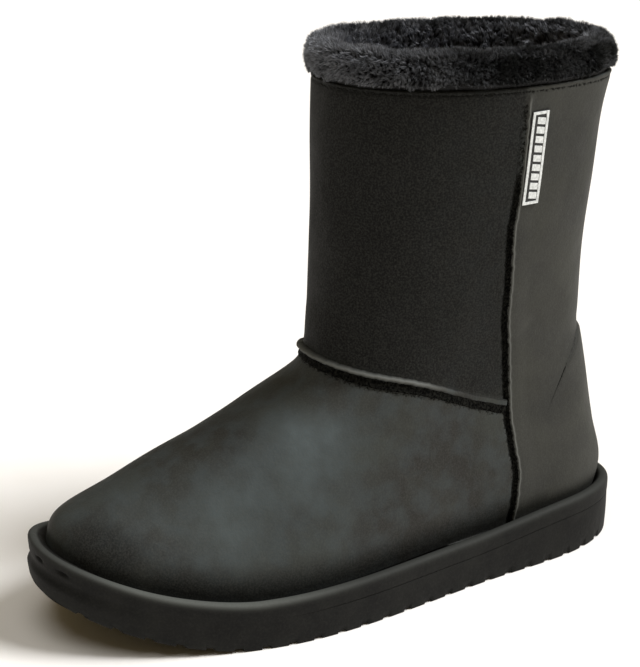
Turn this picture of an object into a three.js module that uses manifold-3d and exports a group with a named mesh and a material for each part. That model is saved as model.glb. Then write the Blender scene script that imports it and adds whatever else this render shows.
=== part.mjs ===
// Snow boot for the left foot: a moulded shell on a thick moulded sole, with a deep pile liner.
// Millimetres. The toe points along -Y, the outer side of the foot along +X, and up is +Z.
// Along a section, "share" runs from 0 at the back to 1 at the front, "along" is that in
// millimetres from the back of the sole, and "side" is positive towards the outer side.
// "Turn" goes once round the boot: 0 at the back, 90 degrees at the outer side, 180 at the toe.
import * as THREE from "three";
import { mergeVertices } from "three/addons/utils/BufferGeometryUtils.js";
import Module from "manifold-3d";

const wasm = await Module();
wasm.setup();

// ---- Driving sizes ----

const length = 295; // sole, heel to toe
const gap = 0.3; // between neighbouring pieces
const linerGap = 0.6; // between the shell and the soft liner
const shellWall = 3; // moulded shell
const pileDepth = 8; // backing and pile of the liner
const insoleThick = 5;

// The liner is sewn from three parts: a collar down to the ankle, a heel part and a toe part.
const collarSeamUp = 161;
const toeSeamAlong = 207.5;

const soleOutline = {
  heelHalf: 38.2, // half width at the heel
  ballHalf: 57.6, // half width at the ball of the foot
  waist: 5, // how far the inner side draws in at the arch
  heelEnd: 0.24, // share of the length that the round of the heel takes
  toeStart: 0.6, // share at which the round of the toe begins
  toeIn: 7.6, // how far the toe swings to the inner side
};
const heelRound = 2.2; // powers of the rounds: 2 is an ellipse, more is squarer
const toeRound = 2.2;
const widening = { from: 0.15, to: 0.68 }; // shares between which heel turns into ball
const swingFrom = 0.5; // share at which the toe begins to swing
const archMiddle = 0.42; // share at the middle of the waist
const archSpread = 0.16;
const heelThick = 24.5; // floor to the rim of the footbed
const ballThick = 23.1;
const heelRise = { by: 4.4, from: 100, to: 35 }; // the lip climbs this much towards the heel
const toeLift = 24; // rise of the lip at the toe
const toeSpring = 27; // rise of the tread at the toe
const springFrom = 0.7; // share of the length where the toe begins to rise

// The side of the sole from the tread up, over the rounded lip and down to the footbed:
// how far in from the outline, and how far above the tread, the lip or the footbed's rim.
const soleProfile = [
  { inset: 1.6, from: "tread", up: 0 },
  { inset: 1.0, from: "tread", up: 1.2 },
  { inset: 0.3, from: "lip", up: -8.5 },
  { inset: 0.0, from: "lip", up: -3.6 },
  { inset: 0.6, from: "lip", up: -1 },
  { inset: 2.1, from: "lip", up: 0 },
  { inset: 5.8, from: "lip", up: -0.8 },
  { inset: 7.7, from: "bed", up: -4.1 },
];
const footbedUp = soleProfile.at(-1).up;

// The shell's outer face, level by level. Each level is a slanting section from a back point
// to a front point. Heights are above the footbed's rim, and level 0 is tucked inside the lip.
const levels = [
  // back, backUp, front, frontUp, heelHalf, ballHalf, waist, heelEnd, toeStart, toeIn
  level(9.6, -3.7, 286.4, -3.7, 28.9, 48.3, 4.5, 0.22, 0.61, 7.9),
  level(5.8, 14.6, 280.4, 11.7, 32.0, 49.6, 4.0, 0.23, 0.61, 7.8),
  level(10.7, 35.7, 258.1, 29.0, 32.1, 46.4, 4.0, 0.23, 0.59, 7.8),
  level(15.4, 61.0, 233.6, 46.7, 31.5, 41.3, 3.0, 0.25, 0.55, 6.7),
  level(20.4, 87.9, 200.7, 62.8, 33.1, 37.8, 1.0, 0.31, 0.52, 3.3), // over the instep
  level(21.5, 111.9, 165.4, 81.6, 36.3, 37.8, 0.0, 0.38, 0.5, 0.3),
  level(20.7, 136.5, 158.1, 109.8, 41.9, 42.8, 0.0, 0.48, 0.5, -0.3), // top of the ankle
  level(18.0, 165.2, 153.7, 150.7, 46.8, 47.9, 0.0, 0.5, 0.5, 0.0),
  level(14.8, 191.5, 151.8, 186.2, 49.4, 51.4, 0.0, 0.5, 0.5, 0.8),
  level(10.5, 209.8, 148.7, 214.1, 51.1, 54.8, 0.0, 0.5, 0.5, 3.0), // collar
];
const collar = levels.length - 1;
const footbedLevel = 0.3; // the foot of the liner is at about this level
const levelSteps = [0, 0.2, 0.6, 1, 1.5, 2, 2.5, 3, 3.5, 4, 4.5, 5, 5.25, 5.5, 6, 7, 8, collar];
const aroundShell = 48; // facets round the shell, the liner and the insole
const aroundSole = 72;

// The liner's rolled cuff, from the shell's rim outwards, over the crest and into the shaft:
// how far out from the shell's face, and how far above the rim.
const cuffProfile = [
  { out: -3.6, up: 0.3 },
  { out: 2.2, up: 0.3 },
  { out: 3.6, up: 4.2 },
  { out: 3.2, up: 10 },
  { out: 0.2, up: 15.8 },
  { out: -5.6, up: 18.6 },
  { out: -10.4, up: 15 },
  { out: -12.2, up: 7 },
];

// The rib where shaft and vamp meet falls towards the heel and bows up a little on the way:
// the shaft's lower edge flares out over a flatter band.
const rib = {
  frontUp: 113, // height of its straight run at the front of the ankle
  frontAlong: 160,
  slope: 0.345, // fall towards the heel, per millimetre along
  bow: 2.7,
  bowAlong: 121,
  bowSpread: 21,
  tall: 6.9,
  proud: 3.2, // at the front
  proudAtSeam: 1.6,
  endTurn: 75, // degrees, just ahead of the side seams
};
const ribColumns = 40;
// The rib's section: place across its height, and share of how far it stands out.
const ribSection = [
  { across: 0, stand: 0.1 },
  { across: 0.05, stand: 0.4 },
  { across: 0.56, stand: 0.45 },
  { across: 0.65, stand: 0.9 },
  { across: 0.78, stand: 1 },
  { across: 0.9, stand: 0.75 },
  { across: 1, stand: 0.1 },
];

const counter = {
  peakUp: 111.5, // height of its top edge at the back
  drop: 38, // how much lower the edge is at the front corners
  reach: 49, // degrees of turn on each side
  bend: 3.4, // power of the edge's curve
  foot: 1.6, // above the lip
  thickBack: 1.3,
  thickFront: 0.7,
  columns: 18,
  rows: 7,
};

const tag = {
  topUp: 226,
  bottomUp: 184,
  topAlong: 71.7, // middle of the tag
  bottomAlong: 74,
  wide: 9,
  thick: 1,
};

const lugs = {
  pitch: 12,
  first: 14, // middle of the first groove behind the heel's edge
  count: 23,
  groove: 3.6,
  chevron: 5, // how far a groove runs forward at the middle of the sole
  deep: 2.6,
  edgeDeep: 0.9, // groove at the very edge
  rim: 6, // width of the edge where grooves stay shallow
};
const archHollow = { from: 96, to: 146, deep: 2.2, rim: 12 };

const nudge = 1e-3; // small step for slopes
const halvings = 40;

// ---- Measures of the last ----

function level(back, backUp, front, frontUp, heelHalf, ballHalf, waist, heelEnd, toeStart, toeIn) {
  return { back, backUp, front, frontUp, heelHalf, ballHalf, waist, heelEnd, toeStart, toeIn };
}

function smooth(from, to, x) {
  const t = THREE.MathUtils.clamp((x - from) / (to - from), 0, 1);
  return t * t * (3 - 2 * t);
}

function widened(share) {
  return smooth(widening.from, widening.to, share);
}

// Outline of a section: share of its length and distance to the side at a turn round it.
function outline(row, turn) {
  const share = (1 - Math.cos(turn)) / 2;
  const behind = Math.max(1 - share / row.heelEnd, 0);
  const ahead = Math.max((share - row.toeStart) / (1 - row.toeStart), 0);
  const heel = Math.max(1 - behind ** heelRound, 0) ** (1 / heelRound);
  const toe = Math.max(1 - ahead ** toeRound, 0) ** (1 / toeRound);
  const inner = Math.sin(turn) < 0;
  const arch = inner ? row.waist * Math.exp(-(((share - archMiddle) / archSpread) ** 2)) : 0;
  const half = row.heelHalf + (row.ballHalf - row.heelHalf) * widened(share) - arch;
  const swing = row.toeIn * smooth(swingFrom, 1, share);
  return { share, side: half * heel * toe * (inner ? -1 : 1) - swing };
}

function toeRise(along, power) {
  return THREE.MathUtils.clamp((along / length - springFrom) / (1 - springFrom), 0, 1) ** power;
}

function bedUp(along) {
  const thick = heelThick + (ballThick - heelThick) * widened(along / length);
  return thick + toeLift * toeRise(along, 1.6);
}

function lipUp(along) {
  return bedUp(along) + heelRise.by * (1 - smooth(heelRise.to, heelRise.from, along));
}

function treadUp(along) {
  return toeSpring * toeRise(along, 1.8);
}

function place(along, side, up) {
  return new THREE.Vector3(side, length / 2 - along, up);
}

function alongOf(point) {
  return length / 2 - point.y;
}

// Every column of the level table at a level between its rows, by Catmull-Rom.
function section(at) {
  const row = THREE.MathUtils.clamp(Math.floor(at), 0, levels.length - 2);
  const t = at - row;
  const value = (index, name) => {
    if (index < 0) return 2 * levels[0][name] - levels[1][name];
    if (index > collar) return 2 * levels[collar][name] - levels[collar - 1][name];
    return levels[index][name];
  };
  const between = (name) => {
    const [a, b, c, d] = [-1, 0, 1, 2].map((step) => value(row + step, name));
    return b + 0.5 * t * (c - a + t * (2 * a - 5 * b + 4 * c - d + t * (3 * (b - c) + d - a)));
  };
  return Object.fromEntries(Object.keys(levels[0]).map((name) => [name, between(name)]));
}

function shellFace(at, turn) {
  const row = section(at);
  const { share, side } = outline(row, turn);
  const along = row.back + (row.front - row.back) * share;
  return place(along, side, bedUp(along) + row.backUp + (row.frontUp - row.backUp) * share);
}

function shellNormal(at, turn) {
  const upwards = shellFace(at + nudge, turn).sub(shellFace(at - nudge, turn));
  const onwards = shellFace(at, turn + nudge).sub(shellFace(at, turn - nudge));
  return upwards.cross(onwards).normalize();
}

// A point out from the shell's outer face, or inside it where out is negative.
function offShell(at, turn, out) {
  return shellFace(at, turn).addScaledVector(shellNormal(at, turn), out);
}

// The value between low and high at which a rising measure passes zero.
function solve(measure, low, high) {
  for (let step = 0; step < halvings; step += 1) {
    const middle = (low + high) / 2;
    if (measure(middle) < 0) low = middle;
    else high = middle;
  }
  return (low + high) / 2;
}

// A point of the sole's outline drawn in by an inset, at height zero.
function solePoint(turn, inset) {
  const rim = (angle) => {
    const { share, side } = outline(soleOutline, angle);
    return place(share * length, side, 0);
  };
  const onwards = rim(turn + nudge).sub(rim(turn - nudge)).normalize();
  const outwards = new THREE.Vector3(0, 0, 1).cross(onwards).negate();
  return rim(turn).addScaledVector(outwards, outwards.dot(rim(turn)) > 0 ? -inset : inset);
}

// ---- Closed bodies from rings and grids ----

function ring(count, point) {
  return Array.from({ length: count }, (_, k) => point((2 * Math.PI * k) / count));
}

function shares(count) {
  return Array.from({ length: count + 1 }, (_, k) => k / count);
}

function closedGeometry(points, triangles) {
  const sixfold = (sum, [a, b, c]) => sum + points[a].dot(points[b].clone().cross(points[c]));
  const inward = triangles.reduce(sixfold, 0) < 0;
  const index = triangles.flatMap(([a, b, c]) => (inward ? [a, c, b] : [a, b, c]));
  const geometry = new THREE.BufferGeometry().setFromPoints(points).setIndex(index);
  geometry.computeVertexNormals();
  return geometry;
}

// Walls from each ring to the next.
function walls(rings, joinEnds) {
  const count = rings[0].length;
  const triangles = [];
  const last = joinEnds ? rings.length : rings.length - 1;
  for (let j = 0; j < last; j += 1) {
    const lower = j * count;
    const upper = ((j + 1) % rings.length) * count;
    for (let k = 0; k < count; k += 1) {
      const next = (k + 1) % count;
      triangles.push([lower + k, lower + next, upper + next], [lower + k, upper + next, upper + k]);
    }
  }
  return triangles;
}

// Rungs across a ring, each level from side to side.
function cap(start, count, flipped) {
  const triangles = [];
  for (let k = 0; k < count / 2; k += 1) {
    const [a, b] = [start + k, start + k + 1];
    const [c, d] = [start + count - k - 1, start + ((count - k) % count)];
    if (b !== c) triangles.push([a, c, b]);
    if (a !== d) triangles.push([a, d, c]);
  }
  return flipped ? triangles.map(([a, b, c]) => [a, c, b]) : triangles;
}

// A body open at the top and underneath: rings up the outside and down the inside.
function tubeGeometry(rings) {
  return closedGeometry(rings.flat(), walls(rings, true));
}

// A body closed by rungs at its first and last ring.
function slabGeometry(rings) {
  const count = rings[0].length;
  const top = (rings.length - 1) * count;
  const triangles = [...walls(rings, false), ...cap(0, count, false), ...cap(top, count, true)];
  return closedGeometry(rings.flat(), triangles);
}

// A piece that lies on the shell. spot(u, v) gives a level and a turn, outer(u, v) how far the
// piece stands out there. It starts inside the shell and is cut back to a gap outside it.
function overlayGeometry(columns, rows, spot, outer) {
  const across = shares(columns);
  const points = [];
  for (const under of [true, false]) {
    for (const v of rows) {
      for (const u of across) {
        const { at, turn } = spot(u, v);
        points.push(offShell(at, turn, under ? -shellWall : outer(u, v)));
      }
    }
  }
  const wide = across.length;
  const face = wide * rows.length;
  const triangles = [];
  const quad = (a, b, c, d) => triangles.push([a, b, c], [a, c, d]);
  for (let j = 0; j + 1 < rows.length; j += 1) {
    for (let i = 0; i < columns; i += 1) {
      const a = j * wide + i;
      quad(a, a + wide, a + wide + 1, a + 1);
      quad(face + a, face + a + 1, face + a + wide + 1, face + a + wide);
    }
    const [left, right] = [j * wide, j * wide + columns];
    quad(left, face + left, face + left + wide, left + wide);
    quad(right, right + wide, face + right + wide, face + right);
  }
  for (let i = 0; i < columns; i += 1) {
    const top = (rows.length - 1) * wide + i;
    quad(i, i + 1, face + i + 1, face + i);
    quad(top, face + top, face + top + 1, top + 1);
  }
  return toGeometry(toSolid(closedGeometry(points, triangles)).subtract(grownShell));
}

function toSolid(geometry) {
  const bare = new THREE.BufferGeometry().setAttribute("position", geometry.getAttribute("position"));
  if (geometry.index) bare.setIndex(geometry.index);
  const merged = mergeVertices(bare, 1e-4);
  const vertProperties = merged.getAttribute("position").array;
  const triVerts = new Uint32Array(merged.index.array);
  return new wasm.Manifold(new wasm.Mesh({ numProp: 3, vertProperties, triVerts }));
}

function toGeometry(solid) {
  const mesh = solid.getMesh();
  const geometry = new THREE.BufferGeometry();
  geometry.setAttribute("position", new THREE.BufferAttribute(mesh.vertProperties, 3));
  geometry.setIndex(new THREE.BufferAttribute(mesh.triVerts, 1));
  geometry.computeVertexNormals();
  return geometry;
}

// ---- Sole: one moulding with a rounded lip, a sunk footbed, lugs and toe spring ----

function soleBody() {
  const bases = { tread: treadUp, lip: lipUp, bed: bedUp };
  const rings = soleProfile.map(({ inset, from, up }) =>
    ring(aroundSole, (turn) => {
      const point = solePoint(turn, inset);
      return point.setZ(bases[from](alongOf(point)) + up);
    }),
  );
  return toSolid(slabGeometry(rings));
}

// An upright prism over the sole's outline, drawn in by an inset.
function outlinePrism(inset, low, high) {
  const rings = [low, high].map((up) => ring(aroundSole, (turn) => solePoint(turn, inset).setZ(up)));
  return toSolid(slabGeometry(rings));
}

// A chevron bar across the whole sole that cuts one groove.
function grooveBar(along, deep) {
  const wing = soleOutline.ballHalf + lugs.rim;
  const [back, front] = [along - lugs.groove / 2, along + lugs.groove / 2];
  const corners = [
    [-wing, back],
    [0, back + lugs.chevron],
    [wing, back],
    [wing, front],
    [0, front + lugs.chevron],
    [-wing, front],
  ];
  const shape = new THREE.Shape(corners.map(([side, at]) => new THREE.Vector2(side, length / 2 - at)));
  const below = 6;
  const bar = new THREE.ExtrudeGeometry(shape, { depth: below + deep, bevelEnabled: false });
  return toSolid(bar.translate(0, 0, treadUp(along + lugs.chevron / 2) - below));
}

function archCutter() {
  const { from, to, deep, rim } = archHollow;
  const box = new THREE.BoxGeometry(3 * soleOutline.ballHalf, to - from, 2 * deep);
  box.translate(0, length / 2 - (from + to) / 2, 0);
  return outlinePrism(rim, -deep, deep).intersect(toSolid(box));
}

function soleGeometry() {
  let sole = soleBody();
  const inner = outlinePrism(lugs.rim, -length, length);
  for (let k = 0; k < lugs.count; k += 1) {
    const along = lugs.first + k * lugs.pitch;
    sole = sole.subtract(grooveBar(along, lugs.edgeDeep));
    const underArch = along > archHollow.from - lugs.pitch && along < archHollow.to;
    if (!underArch) sole = sole.subtract(grooveBar(along, lugs.deep).intersect(inner));
  }
  return toGeometry(sole.subtract(archCutter()));
}

// ---- Shell, liner and insole: offsets of one outer face ----

function shellRing(at, out) {
  return ring(aroundShell, (turn) => offShell(at, turn, out));
}

// The ring at one height above the footbed's rim, on a face inside the shell.
function ringAbove(up, out) {
  const highest = 2; // levels
  return ring(aroundShell, (turn) => {
    const above = (at) => {
      const point = offShell(at, turn, out);
      return point.z - bedUp(alongOf(point)) - up;
    };
    const point = offShell(solve(above, 0, highest), turn, out);
    return point.setZ(bedUp(alongOf(point)) + up);
  });
}

function shellGeometry() {
  const outside = levelSteps.map((at) => shellRing(at, 0));
  const inside = levelSteps.map((at) => shellRing(at, -shellWall));
  return tubeGeometry([...outside, ...inside.reverse()]);
}

function insoleGeometry() {
  const out = -(shellWall + gap);
  const low = footbedUp + gap;
  const heights = [low, low + insoleThick / 2, low + insoleThick];
  return slabGeometry(heights.map((up) => ringAbove(up, out)));
}

function linerGeometry() {
  const outer = -(shellWall + linerGap);
  const inner = outer - pileDepth;
  const foot = footbedUp + insoleThick + 2 * gap;
  const steps = levelSteps.filter((at) => at > footbedLevel);
  const cuff = cuffProfile.map(({ out, up }) =>
    ring(aroundShell, (turn) => {
      const point = offShell(collar, turn, out);
      return point.setZ(point.z + up);
    }),
  );
  return tubeGeometry([
    ringAbove(foot, outer),
    ...steps.map((at) => shellRing(at, outer)),
    ...cuff,
    ...steps.filter((_, index) => index % 2 === 0).map((at) => shellRing(at, inner)).reverse(),
    ringAbove(foot, inner),
  ]);
}

// What is left of a body on both sides of a plane, half a gap away from it.
function parted(body, normal, distance) {
  const opposite = normal.map((value) => -value);
  return [
    body.trimByPlane(normal, distance + gap / 2),
    body.trimByPlane(opposite, gap / 2 - distance),
  ];
}

function linerParts() {
  const [collarPart, foot] = parted(toSolid(linerGeometry()), [0, 0, 1], collarSeamUp);
  const [toePart, heelPart] = parted(foot, [0, -1, 0], toeSeamAlong - length / 2);
  return [collarPart, heelPart, toePart].map(toGeometry);
}

// ---- Overlays: ankle rib, heel counter and side tag ----

// The shell's outer form, filled and grown by the gap.
const grownShell = toSolid(slabGeometry(levelSteps.map((at) => shellRing(at, gap))));

function ribMiddle(along) {
  const bow = rib.bow * Math.exp(-(((along - rib.bowAlong) / rib.bowSpread) ** 2));
  return rib.frontUp - rib.slope * (rib.frontAlong - along) + bow;
}

function ribGeometry() {
  const end = THREE.MathUtils.degToRad(rib.endTurn);
  const spot = (u, v) => {
    const turn = end + (2 * Math.PI - 2 * end) * u;
    const above = (at) => {
      const point = shellFace(at, turn);
      return point.z - ribMiddle(alongOf(point)) - (v - 0.5) * rib.tall;
    };
    return { at: solve(above, 2, 7), turn };
  };
  const outer = (u, v) => {
    const stand = ribSection.find(({ across }) => across === v).stand;
    const proud = rib.proud - (rib.proud - rib.proudAtSeam) * Math.abs(2 * u - 1) ** 1.5;
    return proud * stand;
  };
  return overlayGeometry(ribColumns, ribSection.map(({ across }) => across), spot, outer);
}

function counterGeometry() {
  const reach = THREE.MathUtils.degToRad(counter.reach);
  const rows = shares(counter.rows);
  const spot = (u, v) => {
    const swing = 2 * u - 1;
    const turn = reach * swing;
    const topUp = counter.peakUp - counter.drop * Math.abs(swing) ** counter.bend;
    const footUp = (at) => shellFace(at, turn).z - lipUp(alongOf(shellFace(at, turn)));
    const foot = solve((at) => footUp(at) - counter.foot, 0, 2);
    const top = solve((at) => shellFace(at, turn).z - topUp, 0, 6);
    return { at: foot + (top - foot) * v, turn };
  };
  const outer = (u) => {
    const towardsFront = Math.abs(2 * u - 1) ** 2;
    return counter.thickBack + (counter.thickFront - counter.thickBack) * towardsFront;
  };
  return overlayGeometry(counter.columns, rows, spot, outer);
}

function tagGeometry() {
  const spot = (u, v) => {
    const up = tag.bottomUp + (tag.topUp - tag.bottomUp) * v;
    const middle = tag.bottomAlong + (tag.topAlong - tag.bottomAlong) * v;
    const along = middle + tag.wide * (u - 0.5);
    let at = collar - 1;
    let turn = Math.PI / 2;
    for (let pass = 0; pass < 8; pass += 1) {
      turn = solve((angle) => alongOf(shellFace(at, angle)) - along, 0.3, 2.5);
      at = solve((height) => shellFace(height, turn).z - up, 5, collar);
    }
    return { at, turn };
  };
  return overlayGeometry(2, shares(4), spot, () => tag.thick);
}

// ---- Assembly ----

function piece(name, geometry, color, roughness) {
  const mesh = new THREE.Mesh(geometry, new THREE.MeshStandardMaterial({ color, roughness, metalness: 0 }));
  mesh.name = name;
  return mesh;
}

const [collarFur, heelFur, toeFur] = linerParts();
const pieces = new THREE.Group();
pieces.add(
  piece("sole", soleGeometry(), 0x24241f, 0.75),
  piece("upper", shellGeometry(), 0x262622, 0.7),
  piece("fur_collar", collarFur, 0x1d1d1e, 0.95),
  piece("fur_heel", heelFur, 0x1d1d1e, 0.95),
  piece("fur_toe", toeFur, 0x1d1d1e, 0.95),
  piece("insole", insoleGeometry(), 0x222222, 0.95),
  piece("heel_counter", counterGeometry(), 0x2b2b26, 0.7),
  piece("ankle_rib", ribGeometry(), 0x2a2a26, 0.7),
  piece("side_tag", tagGeometry(), 0x111111, 0.5),
);

// The origin is under the middle of the boot, on the floor.
const box = new THREE.Box3().setFromObject(pieces);
pieces.position.set(-(box.min.x + box.max.x) / 2, -(box.min.y + box.max.y) / 2, -box.min.z);

const boot = new THREE.Group();
boot.add(pieces);
export default boot;
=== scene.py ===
import math

import bmesh
import bpy
import numpy as np
from mathutils import Matrix, Vector, noise


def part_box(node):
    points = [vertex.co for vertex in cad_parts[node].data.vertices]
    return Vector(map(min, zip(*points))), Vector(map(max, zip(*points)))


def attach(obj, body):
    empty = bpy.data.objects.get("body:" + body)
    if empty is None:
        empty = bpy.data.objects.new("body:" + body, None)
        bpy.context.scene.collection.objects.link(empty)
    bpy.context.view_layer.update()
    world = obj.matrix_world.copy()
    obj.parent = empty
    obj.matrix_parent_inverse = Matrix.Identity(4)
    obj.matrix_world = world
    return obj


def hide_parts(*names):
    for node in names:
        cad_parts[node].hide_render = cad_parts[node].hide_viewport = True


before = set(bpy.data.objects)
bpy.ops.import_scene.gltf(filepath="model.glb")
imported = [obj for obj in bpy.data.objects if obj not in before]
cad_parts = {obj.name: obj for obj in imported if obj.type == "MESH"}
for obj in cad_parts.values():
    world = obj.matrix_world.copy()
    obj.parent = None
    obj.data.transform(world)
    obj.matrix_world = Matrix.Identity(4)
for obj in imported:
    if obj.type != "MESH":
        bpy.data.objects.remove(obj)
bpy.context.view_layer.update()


# ---- Sole ----
# The outsole and its raised lip are one thick moulding of light foam. Bars are cut across its
# underside in shallow chevrons, the arch is hollowed, and the toe lifts off the floor. A fine
# parting line runs round the side below the lip, where the two halves of the mould met.

MM = 0.001
LENGTH = 295.0  # heel to toe
ROUND = 2.2  # power of the rounds of heel and toe: 2 is an ellipse, more is squarer
WIDENING = (0.15, 0.68)  # shares of the length between which heel turns into ball
ARCH_MIDDLE, ARCH_SPREAD = 0.42, 0.16
HEEL_THICK, BALL_THICK = 24.5, 23.1  # floor to the rim of the footbed
HEEL_RISE, RISE_FROM, RISE_TO = 4.4, 100.0, 35.0  # the lip climbs this much towards the heel
TOE_LIFT, TOE_SPRING, SPRING_FROM = 24.0, 27.0, 0.70
SOLE = {"heel_half": 38.2, "ball_half": 57.6, "waist": 5.0, "heel_end": 0.24, "toe_start": 0.60,
        "toe_in": 7.6}
LIP_WIDE, LIP_TALL = 2.6, 3.4  # outer half of the bead along the top edge
FOOTBED_DOWN = 4.2
WALL_RECESS = 0.35  # the wall stands back this much under the bead, along the forefoot
PARTING_DOWN = 8.5  # below the top of the lip
BAR_PITCH, FIRST_GROOVE, GROOVES, GROOVE_WIDE = 12.0, 14.0, 23, 3.6
GROOVE_DEEP, GROOVE_EDGE_DEEP, GROOVE_RIM = 2.6, 0.9, 6.0
CHEVRON, CHEVRON_WING = 5.0, 63.6  # how far a bar runs forward at the middle, and its half length
ARCH_FROM, ARCH_TO, ARCH_DEEP, ARCH_RIM = 96.0, 146.0, 2.2, 12.0


def smooth(low, high, x):
    t = np.clip((x - low) / (high - low), 0, 1)
    return t * t * (3 - 2 * t)


def outline(row, turn):
    """Share of the length and distance to the side, at a turn round a section from the heel."""
    share = (1 - np.cos(turn)) / 2
    behind = np.clip(1 - share / row["heel_end"], 0, 1)
    ahead = np.clip((share - row["toe_start"]) / (1 - row["toe_start"]), 0, 1)
    rounds = ((1 - behind**ROUND) * (1 - ahead**ROUND)) ** (1 / ROUND)
    inner = np.sin(turn) < 0
    arch = np.where(inner, row["waist"], 0) * np.exp(-(((share - ARCH_MIDDLE) / ARCH_SPREAD) ** 2))
    half = row["heel_half"] + (row["ball_half"] - row["heel_half"]) * smooth(*WIDENING, share) - arch
    return share, half * rounds * np.where(inner, -1, 1) - row["toe_in"] * smooth(0.5, 1, share)


def toe_rise(along, power):
    return np.clip((along / LENGTH - SPRING_FROM) / (1 - SPRING_FROM), 0, 1) ** power


def bed_up(along):
    thick = HEEL_THICK + (BALL_THICK - HEEL_THICK) * smooth(*WIDENING, along / LENGTH)
    return thick + TOE_LIFT * toe_rise(along, 1.6)


def heel_rise(along):
    return HEEL_RISE * (1 - smooth(RISE_TO, RISE_FROM, along))


def lip_up(along):
    return bed_up(along) + heel_rise(along)


def tread_up(along):
    return TOE_SPRING * toe_rise(along, 1.8)


SIDE_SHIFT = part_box("sole")[0].x / MM - outline(SOLE, np.linspace(0, 2 * np.pi, 73))[1].min()


def place(along, side, up):
    """Points of the row frame in millimetres, from distances along the sole, to the side and up."""
    along, side, up = np.broadcast_arrays(along, side, up)
    return np.stack([side + SIDE_SHIFT, LENGTH / 2 - along, up], -1)


def along_of(points):
    return LENGTH / 2 - points[..., 1]


def solve(measure, low, high):
    """Where a rising measure passes zero, for a whole array at once."""
    for _ in range(40):
        middle = (low + high) / 2
        below = measure(middle) < 0
        low, high = np.where(below, middle, low), np.where(below, high, middle)
    return (low + high) / 2


def grid_faces(rows, columns, round_columns=True, round_rows=False):
    faces = []
    for j in range(rows if round_rows else rows - 1):
        lower, upper = j * columns, (j + 1) % rows * columns
        for k in range(columns if round_columns else columns - 1):
            after = (k + 1) % columns
            faces.append((lower + k, lower + after, upper + after, upper + k))
    return faces


def rung_faces(heel, grid, toe):
    """Faces of a level floor: a grid of vertex numbers, a row for each rung, between two poles."""
    faces = []
    for row, after in zip(grid[:-1], grid[1:]):
        faces += [(row[k], row[k + 1], after[k + 1], after[k]) for k in range(len(row) - 1)]
    for pole, row in ((heel, grid[0]), (toe, grid[-1])):
        faces += [(pole, row[k], row[k + 1]) for k in range(len(row) - 1)]
    return [tuple(int(v) for v in face) for face in faces]


def make_piece(name, points, faces, materials, values=None, slots=None):
    """A smooth closed mesh from points in millimetres, with a named value for each vertex."""
    mesh = bpy.data.meshes.new(name)
    mesh.from_pydata((points.reshape(-1, 3) * MM).tolist(), [], faces)
    work = bmesh.new()
    work.from_mesh(mesh)
    bmesh.ops.recalc_face_normals(work, faces=work.faces)
    work.to_mesh(mesh)
    work.free()
    mesh.polygons.foreach_set("use_smooth", np.ones(len(mesh.polygons), bool))
    for key, value in (values or {}).items():
        attribute = mesh.attributes.new(key, "FLOAT", "POINT")
        attribute.data.foreach_set("value", np.ascontiguousarray(value, np.float32).ravel())
    for material in materials:
        mesh.materials.append(material)
    if slots is not None:
        mesh.polygons.foreach_set("material_index", np.asarray(slots, np.int32))
    piece = bpy.data.objects.new(name, mesh)
    bpy.context.scene.collection.objects.link(piece)
    return piece


def colour(text):
    """Linear colour from an sRGB hex value."""
    parts = [int(text[i:i + 2], 16) / 255 for i in (1, 3, 5)]
    return [c / 12.92 if c <= 0.04045 else ((c + 0.055) / 1.055) ** 2.4 for c in parts] + [1]


def add(tree, kind, inputs=None, **settings):
    """Adds a node. An input takes a value, or the output of another node."""
    node = tree.nodes.new(kind)
    for name, value in settings.items():
        setattr(node, name, value)
    for name, value in (inputs or {}).items():
        if isinstance(value, bpy.types.NodeSocket):
            tree.links.new(value, node.inputs[name])
        else:
            node.inputs[name].default_value = value
    return node


def new_material(name, **shader_inputs):
    material = bpy.data.materials.new(name)
    material.use_nodes = True
    tree = material.node_tree
    tree.nodes.clear()
    shader = add(tree, "ShaderNodeBsdfPrincipled",
                 {key.replace("_", " "): value for key, value in shader_inputs.items()})
    add(tree, "ShaderNodeOutputMaterial", {"Surface": shader.outputs[0]})
    return material, tree, shader


def grains(tree, millimetres, detail=2, stretch=(1, 1, 1)):
    """Noise whose grains have a real size, in the object's own coordinates."""
    where = add(tree, "ShaderNodeTexCoord").outputs["Object"]
    turned = add(tree, "ShaderNodeMapping", {"Vector": where, "Scale": stretch}).outputs[0]
    scale = 1 / (millimetres * MM)
    return add(tree, "ShaderNodeTexNoise", {"Vector": turned, "Scale": scale, "Detail": detail}).outputs[0]


def blend_colours(tree, share, low, high):
    return add(tree, "ShaderNodeMix", {0: share, 6: low, 7: high}, data_type="RGBA").outputs[2]


def between(tree, value, from_low, from_high, to_low, to_high):
    inputs = {0: value, 1: from_low, 2: from_high, 3: to_low, 4: to_high}
    return add(tree, "ShaderNodeMapRange", inputs).outputs[0]


def named(tree, name):
    return add(tree, "ShaderNodeAttribute", attribute_name=name).outputs["Fac"]


def bumps(tree, shader, *layers):
    """Lays bumps over each other: pairs of a height from 0 to 1 and its depth in millimetres."""
    normal = None
    for height, depth in layers:
        inputs = {"Height": height, "Distance": depth * MM, "Strength": 1.0}
        if normal is not None:
            inputs["Normal"] = normal
        normal = add(tree, "ShaderNodeBump", inputs).outputs[0]
    tree.links.new(normal, shader.inputs["Normal"])


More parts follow.
